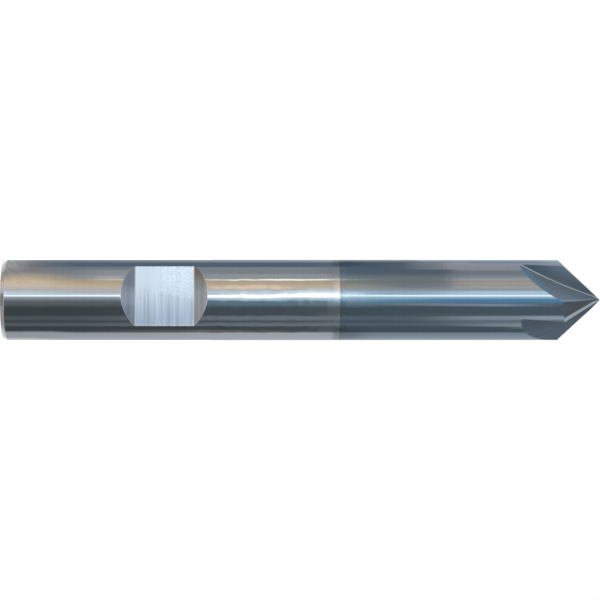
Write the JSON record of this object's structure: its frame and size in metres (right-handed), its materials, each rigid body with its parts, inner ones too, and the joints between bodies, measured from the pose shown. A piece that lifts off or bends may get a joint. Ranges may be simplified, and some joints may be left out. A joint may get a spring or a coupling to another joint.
{
  "type": "chamfer mill",
  "caption": "Solid carbide chamfer mill with a right-angle point, straight flutes and a straight shank that has a clamping flat.",
  "frame": {"origin": "centre of the shank's end face, on which the tool stands", "axes": "+Z along the axis towards the point, and -Y out of the clamping flat"},
  "size_m": [0.01, 0.01, 0.0743],
  "materials": {
    "ground_carbide": "ground and bright, with a thin blue-grey coating on the cutting end"
  },
  "bodies": {
    "root": {"chamfer_mill": "ground_carbide"}
  },
  "joints": []
}
